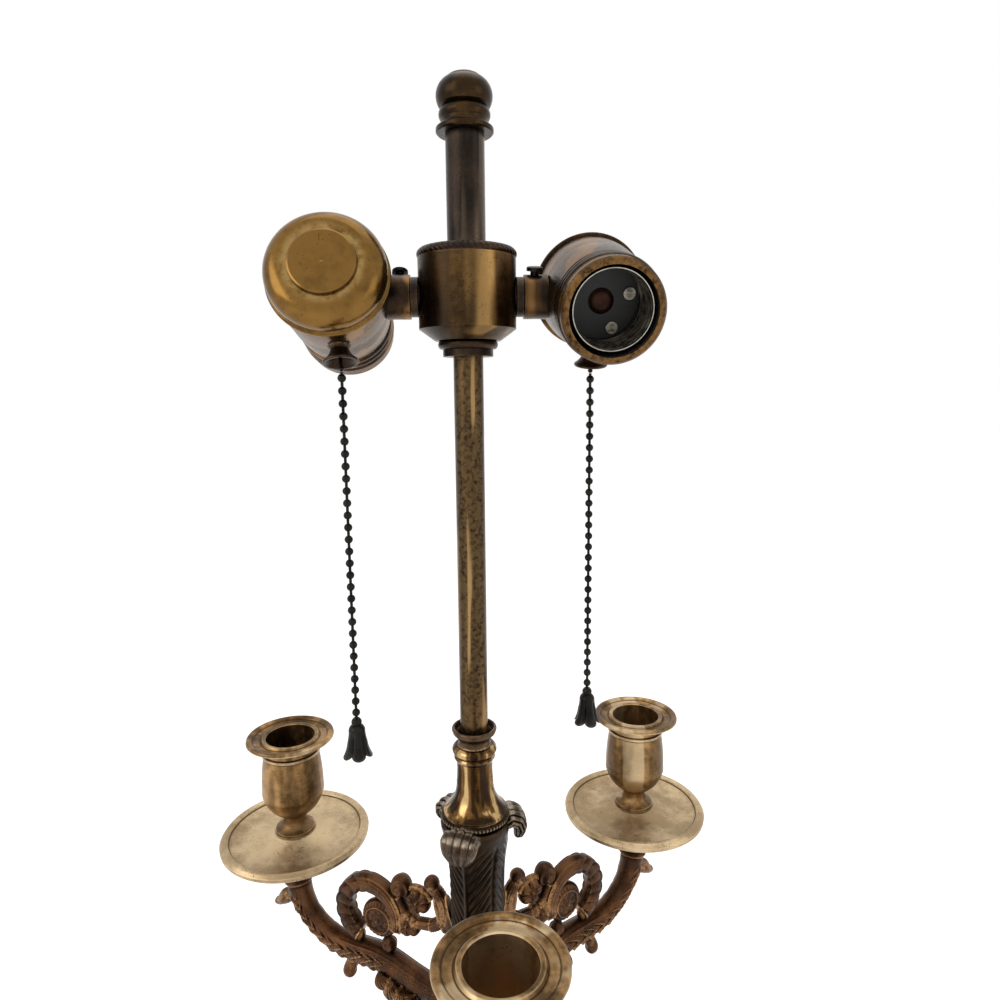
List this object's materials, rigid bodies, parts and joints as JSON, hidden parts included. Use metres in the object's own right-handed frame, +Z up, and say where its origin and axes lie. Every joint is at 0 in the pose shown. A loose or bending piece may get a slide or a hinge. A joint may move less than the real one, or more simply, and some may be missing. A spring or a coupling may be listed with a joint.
{
  "type": "bouillotte lamp",
  "caption": "Table lamp with a dish base, turned column, scroll arms with candle cups and drip pans, and swivelling pull-chain lampholders under a riser and finial.",
  "frame": {"origin": "on the lamp's axis, at the table", "axes": "+Z up the lamp's axis, +X to the viewer's right, +Y away from the viewer"},
  "size_m": [0.2329, 0.2292, 0.6383],
  "materials": {
    "aged_brass": "aged, warm brown gold",
    "patina": "dark patina over cast brass",
    "rubbed_brass": "hand-rubbed, lighter edges",
    "chain_brass": "dull dark brass",
    "iron": "raw casting",
    "steel": "plain",
    "felt": "green felt",
    "switch_black": "moulded insulating body",
    "fibre": "pressed fibre",
    "nickel": "nickel-plated screw shell",
    "copper": "copper contact",
    "rubber": "matte"
  },
  "bodies": {
    "lamp": {"felt_pad": "felt", "dish_base": "aged_brass", "cord_bushing": "rubber", "base_weight": "iron", "base_washer": "steel", "centre_pipe": "steel", "pipe_nuts": "steel", "column_foot": "aged_brass", "column_shaft": "aged_brass", "arm_hub": "aged_brass", "arm_screws": "steel", "cup_studs": "steel", "leaf_sleeve": "patina", "bell_neck": "rubbed_brass", "stem_cup": "rubbed_brass", "stem_tube": "aged_brass", "cluster_ring": "rubbed_brass", "cluster_body": "rubbed_brass", "cluster_cap": "rubbed_brass", "riser_tube": "patina", "side_nipples": "steel", "ring_nuts": "rubbed_brass", "arm_front": "aged_brass", "drip_pan_front": "rubbed_brass", "candle_cup_front": "rubbed_brass", "arm_right": "aged_brass", "drip_pan_right": "rubbed_brass", "candle_cup_right": "rubbed_brass", "arm_left": "aged_brass", "drip_pan_left": "rubbed_brass", "candle_cup_left": "rubbed_brass"},
    "finial": {"finial": "rubbed_brass"},
    "left_socket": {"left_shell": "rubbed_brass", "left_cap": "rubbed_brass", "left_liner": "fibre", "left_screw_shell": "nickel", "left_insulator": "switch_black", "left_centre_contact": "copper", "left_terminal_screws": "nickel", "left_chain_guide": "rubbed_brass", "left_lever_spring": "steel"},
    "left_pull": {"left_pull_link": "chain_brass"},
    "left_chain": {"left_chain": "chain_brass", "left_pull_bell": "patina"},
    "left_lever": {"left_switch_lever": "steel"},
    "left_thumb": {"left_thumb_screw": "rubbed_brass"},
    "right_socket": {"right_shell": "rubbed_brass", "right_cap": "rubbed_brass", "right_liner": "fibre", "right_screw_shell": "nickel", "right_insulator": "switch_black", "right_centre_contact": "copper", "right_terminal_screws": "nickel", "right_chain_guide": "rubbed_brass", "right_lever_spring": "steel"},
    "right_pull": {"right_pull_link": "chain_brass"},
    "right_chain": {"right_chain": "chain_brass", "right_pull_bell": "patina"},
    "right_lever": {"right_switch_lever": "steel"},
    "right_thumb": {"right_thumb_screw": "rubbed_brass"}
  },
  "joints": [
    {"name": "finial_turn", "type": "hinge", "parent": "lamp", "child": "finial", "pos_m": [0, 0, 0.6183], "axis": [0, 0, 1], "continuous": true},
    {"name": "left_swivel", "type": "hinge", "parent": "lamp", "child": "left_socket", "pos_m": [-0.04811, -0.00286, 0.5617], "axis": [0.9982, 0.0593, 0], "range_deg": [-70, 105]},
    {"name": "left_pull", "type": "slide", "parent": "left_socket", "child": "left_pull", "axis": [0.1161, -0.3094, -0.9438], "range_m": [0, 0.006], "stiffness_N_per_m": 300, "springref_m": -0.006},
    {"name": "left_chain_hang", "type": "hinge", "parent": "left_pull", "child": "left_chain", "pos_m": [-0.04461, -0.01458, 0.53556], "axis": [0.9982, 0.0593, 0], "range_deg": [-105, 70]},
    {"name": "left_lever", "type": "hinge", "parent": "left_socket", "child": "left_lever", "pos_m": [-0.04649, -0.01563, 0.55671], "axis": [0.9916, 0.0899, 0.0925], "range_deg": [-44.15, 0]},
    {"name": "left_thumb_turn", "type": "hinge", "parent": "left_socket", "child": "left_thumb", "pos_m": [-0.02476, -0.00147, 0.5617], "axis": [-0.0188, 0.3167, 0.9483], "continuous": true},
    {"name": "right_swivel", "type": "hinge", "parent": "lamp", "child": "right_socket", "pos_m": [0.04811, 0.00286, 0.5617], "axis": [-0.9982, -0.0593, 0], "range_deg": [-70, 105]},
    {"name": "right_pull", "type": "slide", "parent": "right_socket", "child": "right_pull", "axis": [-0.0159, 0.2684, -0.9632], "range_m": [0, 0.006], "stiffness_N_per_m": 300, "springref_m": -0.006},
    {"name": "right_chain_hang", "type": "hinge", "parent": "right_pull", "child": "right_chain", "pos_m": [0.04749, 0.01345, 0.53486], "axis": [-0.9982, -0.0593, 0], "range_deg": [-105, 70]},
    {"name": "right_lever", "type": "hinge", "parent": "right_socket", "child": "right_lever", "pos_m": [0.04737, 0.01543, 0.55603], "axis": [-0.9982, -0.0593, 0], "range_deg": [-44.15, 0]},
    {"name": "right_thumb_turn", "type": "hinge", "parent": "right_socket", "child": "right_thumb", "pos_m": [0.02476, 0.00147, 0.5617], "axis": [0.0159, -0.2684, 0.9632], "continuous": true}
  ],
  "couplings": [
    {"joint": "left_chain_hang", "follows": "left_swivel", "ratio": -1},
    {"joint": "left_lever", "follows": "left_pull", "rad_per_m": -128.13},
    {"joint": "right_chain_hang", "follows": "right_swivel", "ratio": -1},
    {"joint": "right_lever", "follows": "right_pull", "rad_per_m": -128.13}
  ]
}
